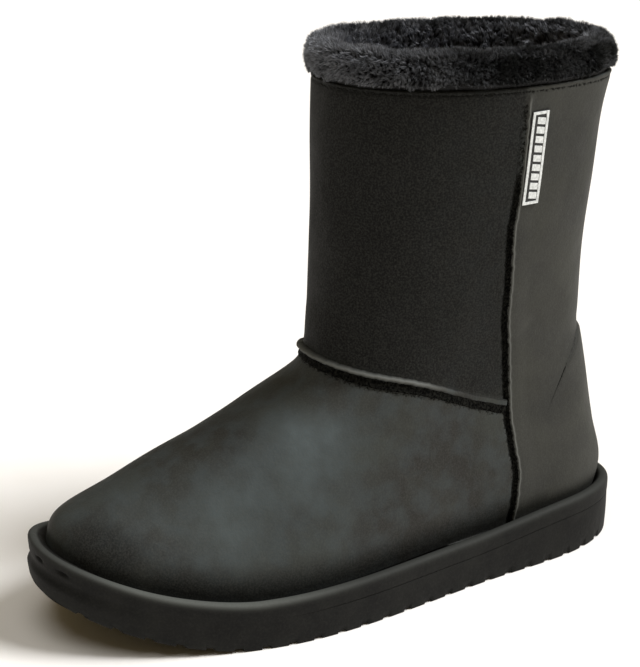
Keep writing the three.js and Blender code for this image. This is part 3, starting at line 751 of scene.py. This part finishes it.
tall = TAG_TOP - TAG_BOTTOM
parts = [(tag_slab(np.meshgrid(np.linspace(0, TAG_WIDE, 9), np.linspace(0, tall, 36)), -0.6, TAG_THICK), 0)]
low, high = FRAME_IN, FRAME_IN + FRAME_WIDE
for side in (low, TAG_WIDE - high):
    shape = np.meshgrid(np.linspace(side, side + FRAME_WIDE, 3), np.linspace(low, tall - low, 36))
    parts.append((tag_slab(shape, TAG_THICK - 0.3, TAG_THICK + TAG_RAISED), 1))
for end in (low, tall - high):
    shape = np.meshgrid(np.linspace(high, TAG_WIDE - high, 7), np.linspace(end, end + FRAME_WIDE, 3))
    parts.append((tag_slab(shape, TAG_THICK - 0.3, TAG_THICK + TAG_RAISED), 1))
BARS, BAR_WIDE, BAR_SLANT = 9, 2.9, 1.6
for step in range(BARS):
    at = high + 1.4 + step * (tall - 2 * high - 2.8 - BAR_WIDE) / (BARS - 1)
    across_bar, up_bar = np.meshgrid(np.linspace(high + 0.3, TAG_WIDE - high - 1.5, 5),
                                     np.linspace(at, at + BAR_WIDE, 3))
    up_bar = up_bar + BAR_SLANT * (across_bar / TAG_WIDE - 0.5)
    parts.append((tag_slab((across_bar, up_bar), TAG_THICK - 0.3, TAG_THICK + TAG_RAISED * 0.8), 1))

# Soft moulded vinyl: satin black ground, and a chalky white where the raised parts were printed.
tag_black, tree, shader = new_material("soft_vinyl_black", Roughness=0.42, IOR=1.5)
grime = between(tree, grains(tree, 1.5, 3), 0.4, 0.7, 0, 1)
tree.links.new(blend_colours(tree, grime, colour("#0e0e0e"), colour("#1b1b1a")), shader.inputs["Base Color"])
bumps(tree, shader, (grains(tree, 0.5, 2), 0.04))
tag_white, tree, shader = new_material("printed_vinyl_white", Roughness=0.5, IOR=1.5)
chalk = between(tree, grains(tree, 1.2, 3), 0.35, 0.65, 0, 1)
tree.links.new(blend_colours(tree, chalk, colour("#c9ccca"), colour("#e9ecea")), shader.inputs["Base Color"])
bumps(tree, shader, (grains(tree, 0.6, 2), 0.04))

points, faces, slots = join_parts(parts)
tag = make_piece("side_label", points, faces, [tag_black, tag_white], slots=slots)
tag.data.polygons.foreach_set("use_smooth", np.zeros(len(tag.data.polygons), bool))
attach(tag, "root")
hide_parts("side_tag")


# ---- Insole ----
# A pad of pressed felt lies on the footbed. It is dished a little under the heel and the ball.

INSOLE_LOW, INSOLE_THICK = -3.8, 5.0
insole_turns = np.linspace(0, 2 * np.pi, 145)[:-1]


def ring_above(up, out):
    """The ring at one height above the lip, on a face inside the shell."""
    def measure(level):
        points = off_shell(level, insole_turns, out)
        return points[..., 2] - bed_up(along_of(points)) - up
    level = solve(measure, np.zeros(len(insole_turns)), np.full(len(insole_turns), 2.0))
    points = off_shell(level, insole_turns, out)
    points[..., 2] = bed_up(along_of(points)) + up
    return points


felt, tree, shader = new_material("pressed_felt", Roughness=0.95, Sheen_Weight=0.2, Sheen_Roughness=0.5)
fibres = between(tree, grains(tree, 1.2, 4), 0.35, 0.65, 0, 1)
felt_tone = blend_colours(tree, fibres, colour("#1a1a1a"), colour("#333331"))
tree.links.new(felt_tone, shader.inputs["Base Color"])
bumps(tree, shader, (grains(tree, 0.9, 3), 0.3))

insole_rings = [ring_above(INSOLE_LOW + up, -(SHELL_WALL + inset)) for inset, up in
                ((0.6, 0), (0.3, 0.6), (0.3, 3.2), (0.5, 4.2), (1.2, 4.8), (2.2, INSOLE_THICK))]
half_turn = len(insole_turns) // 2
faces = grid_faces(len(insole_rings), len(insole_turns))
points = list(insole_rings)
start = len(insole_rings) * len(insole_turns)
for ring, dish in ((0, 0.0), (len(insole_rings) - 1, 1.2)):
    first = ring * len(insole_turns)
    outer = first + 1 + np.arange(half_turn - 1)
    inner = first + len(insole_turns) - 1 - np.arange(half_turn - 1)
    left, right = insole_rings[ring][1:half_turn], insole_rings[ring][:half_turn:-1]
    weights = np.linspace(0, 1, 18)[1:-1, None]
    middle = left[:, None] + (right - left)[:, None] * weights
    middle[..., 2] -= dish * np.sin(np.pi * weights[:, 0])
    numbers = start + np.arange(middle.size // 3).reshape(middle.shape[:2])
    faces += rung_faces(first, np.column_stack([outer, numbers, inner]), first + half_turn)
    points.append(middle.reshape(-1, 3))
    start += middle.size // 3
insole = make_piece("insole_pad", np.concatenate(points), faces, [felt])
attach(insole, "root")
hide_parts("insole")


# ---- Pile liner ----
# A knitted sleeve with deep pile lines the whole boot and is rolled out over the rim as the cuff.
# The knitted backing is one closed skin here, and the pile that grows on it follows below.

LINER_OUT = 3.6
LINER_IN = 9.4  # face of the backing, under the pile
CUFF = np.array([(-3.4, -2.5), (-1.2, 1.0), (0.2, 3.4), (0.7, 6.6), (0.0, 9.9), (-2.0, 12.6), (-4.9, 13.8),
                 (-7.4, 13.1), (-9.0, 10.4), (-9.6, 5.9), (-9.5, 2.0)])  # out from the shell, and up
CUFF_BACK_IN = 1.3  # the roll is slimmer behind
LINER_COLUMNS = 160
LUMP_SEED = 11
noise.seed_set(LUMP_SEED)  # unseeded, the slow noise starts from the clock and no two runs agree
liner_turns = np.linspace(0, 2 * np.pi, LINER_COLUMNS + 1)[:-1]


def rounded_path(corners, count):
    """A smooth line through corner points, by Catmull-Rom."""
    padded = np.concatenate([2 * corners[:1] - corners[1:2], corners, 2 * corners[-1:] - corners[-2:-1]])
    at = np.linspace(0, len(corners) - 1, count)
    row = np.minimum(at.astype(int), len(corners) - 2)
    t = (at - row)[:, None]
    a, b, c, d = (padded[row + step] for step in range(4))
    return b + 0.5 * t * (c - a + t * (2 * a - 5 * b + 4 * c - d + t * (3 * (b - c) + d - a)))


def lumps(points, size, seed):
    """Slow noise for each point, as a vector: how tufts of pile lean together."""
    flat = points.reshape(-1, 3) / size + seed
    found = np.array([noise.noise_vector(Vector(point)) for point in flat])
    return found.reshape(points.shape)


cuff_path = rounded_path(CUFF, 34)
slimmer = CUFF_BACK_IN * smooth(0.2, 1.0, np.cos(liner_turns))
cuff = np.stack([off_shell(float(COLLAR), liner_turns, out - slimmer * smooth(-8, -2, out)) + [0, 0, up]
                 for out, up in cuff_path])
cuff += lumps(cuff, 14, 3.0) * 0.9
sleeve_levels = np.linspace(COLLAR - 0.1, 0.34, 44)
sleeve = np.stack([off_shell(level, liner_turns, -LINER_IN) for level in sleeve_levels])
outside = np.stack([off_shell(level, liner_turns, -LINER_OUT) for level in np.linspace(0.34, COLLAR, 24)])
backing_points = np.concatenate([cuff, sleeve, outside])

# Knitted backing under the pile: black, and so matt that it only shows as shadow between tufts.
backing, tree, shader = new_material("knitted_backing", Roughness=1.0)
knit = between(tree, grains(tree, 1.6, 3), 0.4, 0.65, 0, 1)
tree.links.new(blend_colours(tree, knit, colour("#0c0c0d"), colour("#1c1c1e")), shader.inputs["Base Color"])
bumps(tree, shader, (grains(tree, 1.8, 3), 1.2))
liner = make_piece("pile_liner", backing_points,
                   grid_faces(len(backing_points), LINER_COLUMNS, True, True), [backing])
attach(liner, "root")
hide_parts("fur_collar", "fur_heel", "fur_toe")


# ---- Pile ----
# The pile is long soft fibre in tufts that lean together. It is short just above the rim outside,
# stands up on the crest of the cuff, and is thick all the way down inside the shaft.

BLADES = 6
PILE_SEED = 11
chance = np.random.default_rng(PILE_SEED)


def make_tuft():
    """A lock of pile, one unit long: thin curved blades that start apart and meet near their tips."""
    points, faces, tips = [], [], []
    for blade in range(BLADES):
        angle = 2 * math.pi * (blade + chance.random() * 0.7) / BLADES
        root = np.array([math.cos(angle), math.sin(angle), 0]) * 0.16 * chance.random() ** 0.5
        tall, stray = 0.75 + 0.3 * chance.random(), (chance.random(3) - 0.5) * [0.24, 0.24, 0]
        facing = chance.random() * math.pi
        side = np.array([math.cos(facing), math.sin(facing), 0])
        first = len(points)
        for over, up, wide in ((0, 0, 0.032), (0.09, 0.55, 0.034), (0.34, 1, 0)):
            middle = root * (1 - 0.7 * up) + stray * up + np.array([over, 0, up * tall])
            points += [middle - side * wide, middle + side * wide] if wide else [middle]
            tips += [up, up] if wide else [up]
        faces += [(first, first + 1, first + 3, first + 2), (first + 2, first + 3, first + 4)]
    mesh = bpy.data.meshes.new("tuft")
    mesh.from_pydata([tuple(point) for point in points], [], faces)
    mesh.attributes.new("tip", "FLOAT", "POINT").data.foreach_set("value", tips)
    tuft = bpy.data.objects.new("tuft", mesh)
    bpy.context.scene.collection.objects.link(tuft)
    return tuft


def pile_tree():
    """Geometry nodes that plant tufts on a skin, leaning the way its own values say."""
    tree = bpy.data.node_groups.new("planted_pile", "GeometryNodeTree")
    for name, kind in (("Skin", "Geometry"), ("Tuft", "Object"), ("Per square metre", "Float"),
                       ("Unruly", "Float"), ("Seed", "Int"), ("Finish", "Material")):
        tree.interface.new_socket(name=name, in_out="INPUT", socket_type="NodeSocket" + kind)
    tree.interface.new_socket(name="Pile", in_out="OUTPUT", socket_type="NodeSocketGeometry")
    given = add(tree, "NodeGroupInput").outputs
    planted = add(tree, "GeometryNodeDistributePointsOnFaces",
                  {"Mesh": given["Skin"], "Density": given["Per square metre"], "Seed": given["Seed"]})
    lay = add(tree, "GeometryNodeInputNamedAttribute", {"Name": "lay"}, data_type="FLOAT_VECTOR")
    long = add(tree, "GeometryNodeInputNamedAttribute", {"Name": "long"}, data_type="FLOAT")
    stray = add(tree, "FunctionNodeRandomValue",
                {"Min": (-1, -1, -1), "Max": (1, 1, 1), "Seed": given["Seed"]}, data_type="FLOAT_VECTOR")
    unruly = add(tree, "ShaderNodeVectorMath", {0: stray.outputs[0], "Scale": given["Unruly"]},
                 operation="SCALE")
    leaning = add(tree, "ShaderNodeVectorMath", {0: lay.outputs[0], 1: unruly.outputs[0]})
    stood = add(tree, "FunctionNodeAlignRotationToVector", {"Vector": leaning.outputs[0]}, axis="Z")
    spin = add(tree, "FunctionNodeRandomValue", {2: 0.0, 3: 2 * math.pi, "Seed": given["Seed"]},
               data_type="FLOAT")
    about = add(tree, "FunctionNodeAxisAngleToRotation", {"Axis": (0, 0, 1), "Angle": spin.outputs[1]})
    turned = add(tree, "FunctionNodeRotateRotation",
                 {"Rotation": stood.outputs[0], "Rotate By": about.outputs[0]}, rotation_space="LOCAL")
    unlike = add(tree, "FunctionNodeRandomValue", {2: 0.7, 3: 1.2, "Seed": given["Seed"]},
                 data_type="FLOAT")
    tall = add(tree, "ShaderNodeMath", {0: long.outputs[0], 1: unlike.outputs[1]}, operation="MULTIPLY")
    tuft = add(tree, "GeometryNodeObjectInfo", {"Object": given["Tuft"]})
    tufts = add(tree, "GeometryNodeInstanceOnPoints",
                {"Points": planted.outputs["Points"], "Instance": tuft.outputs["Geometry"],
                 "Rotation": turned.outputs[0], "Scale": tall.outputs[0]})
    shade = add(tree, "FunctionNodeRandomValue", {2: 0.0, 3: 1.0, "Seed": given["Seed"]},
                data_type="FLOAT")
    toned = add(tree, "GeometryNodeStoreNamedAttribute",
                {"Geometry": tufts.outputs[0], "Name": "tone", "Value": shade.outputs[1]},
                data_type="FLOAT", domain="INSTANCE")
    real = add(tree, "GeometryNodeRealizeInstances", {"Geometry": toned.outputs[0]})
    finished = add(tree, "GeometryNodeSetMaterial",
                   {"Geometry": real.outputs[0], "Material": given["Finish"]})
    add(tree, "NodeGroupOutput", {"Pile": finished.outputs[0]})
    return tree


# Pile fibre: black at the root and greyer towards the tip; how pale the tips are is painted light, palest
# inside the shaft and at the front of the cuff, darkest outside.
pile, tree, shader = new_material("acrylic_pile", Roughness=0.55, IOR=1.5, Specular_IOR_Level=0.4)
tipped = between(tree, named(tree, "tip"), 0.25, 0.95, 0, 1)
tone = between(tree, named(tree, "tone"), 0, 1, 0.3, 1)
share = add(tree, "ShaderNodeMath", {0: tipped, 1: tone}, operation="MULTIPLY").outputs[0]
# Painted light: the tips range from dark grey in shade to pale grey where lit.
tip = blend_colours(tree, named(tree, "painted_tip_light"), colour("#232624"), colour("#c0c3ca"))
tree.links.new(blend_colours(tree, share, colour("#08080a"), tip), shader.inputs["Base Color"])

tuft = make_tuft()
planting = pile_tree()


def plant(name, rows, leans, longs, clump, painted_tip_light, tufts, seed):
    """Grows pile on a band of the liner: how it leans along the band, its length, lumps and the painted
    light on its tips.
    """
    band = np.stack(rows)
    run = np.gradient(band, axis=0)
    run /= np.linalg.norm(run, axis=-1, keepdims=True)
    onward = np.roll(band, -1, 1) - np.roll(band, 1, 1)
    upright = np.cross(run, onward)
    upright /= np.linalg.norm(upright, axis=-1, keepdims=True)
    lay = upright + run * np.asarray(leans)[:, None, None]
    lay += lumps(band, 11, 20.0 + seed) * clump + lumps(band, 4, 40.0 + seed) * 0.8
    skin = bpy.data.meshes.new(name)
    skin.from_pydata((band.reshape(-1, 3) * MM).tolist(), [], grid_faces(len(band), LINER_COLUMNS))
    skin.attributes.new("lay", "FLOAT_VECTOR", "POINT").data.foreach_set("vector", lay.ravel())
    long = np.asarray(longs)[:, None] * (1 + 0.25 * lumps(band, 12, 60.0 + seed)[..., 0]) * MM
    front = smooth(0.1, 0.95, -np.cos(liner_turns))
    long = long * (1 + 0.3 * front)
    skin.attributes.new("long", "FLOAT", "POINT").data.foreach_set("value", long.ravel())
    # Painted light on the tips: raised towards the front, with slow noise through it.
    painted_tip_light = painted_tip_light + max(0, 0.6 - painted_tip_light) * front + 0.3 * lumps(band, 9, 80.0 + seed)[..., 1]
    skin.attributes.new("painted_tip_light", "FLOAT", "POINT").data.foreach_set("value", painted_tip_light.ravel())
    piece = bpy.data.objects.new(name, skin)
    bpy.context.scene.collection.objects.link(piece)
    area = sum(face.area for face in skin.polygons)
    modifier = piece.modifiers.new("pile", "NODES")
    modifier.node_group = planting
    inputs = {"Tuft": tuft, "Per square metre": tufts / area, "Unruly": 0.4, "Seed": seed, "Finish": pile}
    for item in planting.interface.items_tree:
        if item.name in inputs and item.in_out == "INPUT":
            modifier[item.identifier] = inputs[item.name]
    graph = bpy.context.evaluated_depsgraph_get()
    grown = bpy.data.meshes.new_from_object(piece.evaluated_get(graph), depsgraph=graph,
                                            preserve_all_data_layers=True)
    piece.modifiers.clear()
    piece.data = grown
    grown.name = name
    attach(piece, "root")
    return piece


outer_rows, crest_rows, inner_rows = cuff[6:17], cuff[16:27], list(cuff[26:]) + list(sleeve[:5])
# The sixth value is the painted light on the tips: dark outside, brighter on the crest, palest inside the
# shaft.
plant("pile_outside", outer_rows, np.linspace(-0.1, 0.1, 11), np.linspace(2.2, 3.6, 11), 0.9, 0.0, 10800, 1)
plant("pile_crest", crest_rows, np.linspace(0.0, -0.2, 11), np.full(11, 3.7), 0.9, 0.25, 9600, 2)
inside = len(inner_rows)
plant("pile_inside", inner_rows, np.full(inside, -1.3), np.full(inside, 5.2), 0.6, 1.0, 9600, 3)
plant("pile_deep", sleeve[4:16], np.full(12, -0.9), np.full(12, 5.5), 0.6, 0.5, 4000, 4)
bpy.data.objects.remove(tuft)


# ---- Floor, lights and camera ----
# A plain pale floor under a broad soft light from above, behind the heel.

paper, tree, shader = new_material("matt_paper", Roughness=0.9, Specular_IOR_Level=0.2)
mottle = between(tree, grains(tree, 60, 2), 0.3, 0.7, 0, 1)
paper_tone = blend_colours(tree, mottle, colour("#f4f1ec"), colour("#f7f5f1"))
tree.links.new(paper_tone, shader.inputs["Base Color"])
FLOOR = 6000.0
corners = np.array([(-FLOOR, -FLOOR, 0), (FLOOR, -FLOOR, 0), (FLOOR, FLOOR, 0), (-FLOOR, FLOOR, 0)])
floor = make_piece("floor", corners, [(0, 1, 2, 3)], [paper])


def sun(name, toward, strength, spread, tint):
    """A lamp far away that shines from a direction, with a soft edge."""
    data = bpy.data.lights.new(name, "SUN")
    data.energy = strength
    data.angle = math.radians(spread)
    data.color = colour(tint)[:3]
    lamp = bpy.data.objects.new(name, data)
    lamp.rotation_euler = Vector(toward).to_track_quat("Z", "Y").to_euler()
    bpy.context.scene.collection.objects.link(lamp)


sun("key", (0.42, 0.72, 1.0), 3.8, 24, "#fbfcff")
sun("overhead", (0.25, -0.15, 1.0), 0.9, 40, "#ffffff")
world = bpy.data.worlds.new("studio")
bpy.context.scene.world = world
world.use_nodes = True
world.node_tree.nodes["Background"].inputs["Color"].default_value = colour("#e2c997")
world.node_tree.nodes["Background"].inputs["Strength"].default_value = 0.18
bpy.context.scene.view_settings.view_transform = "Standard"

CAMERA_TURN, CAMERA_RISE, CAMERA_ROLL = (math.radians(angle) for angle in (24.02, 19.02, -1.38))
CAMERA_AWAY, CAMERA_LENS = 749.7, 86.26
target = place(146.2, -18.1, 116.0)
back = np.array([math.cos(CAMERA_TURN) * math.cos(CAMERA_RISE),
                 -math.sin(CAMERA_TURN) * math.cos(CAMERA_RISE), math.sin(CAMERA_RISE)])
right = np.cross(-back, (0, 0, 1))
right /= np.linalg.norm(right)
upward = np.cross(right, -back)
across = math.cos(CAMERA_ROLL) * right + math.sin(CAMERA_ROLL) * upward
over = math.cos(CAMERA_ROLL) * upward - math.sin(CAMERA_ROLL) * right
eye = (target + back * CAMERA_AWAY) * MM
data = bpy.data.cameras.new("camera")
data.lens = CAMERA_LENS
data.sensor_width = 36
data.clip_start, data.clip_end = 0.01, 50
camera = bpy.data.objects.new("camera", data)
rows = [[*axes, where] for *axes, where in zip(across, over, back, eye)]
camera.matrix_world = Matrix(rows + [[0, 0, 0, 1]])
bpy.context.scene.collection.objects.link(camera)
bpy.context.scene.camera = camera
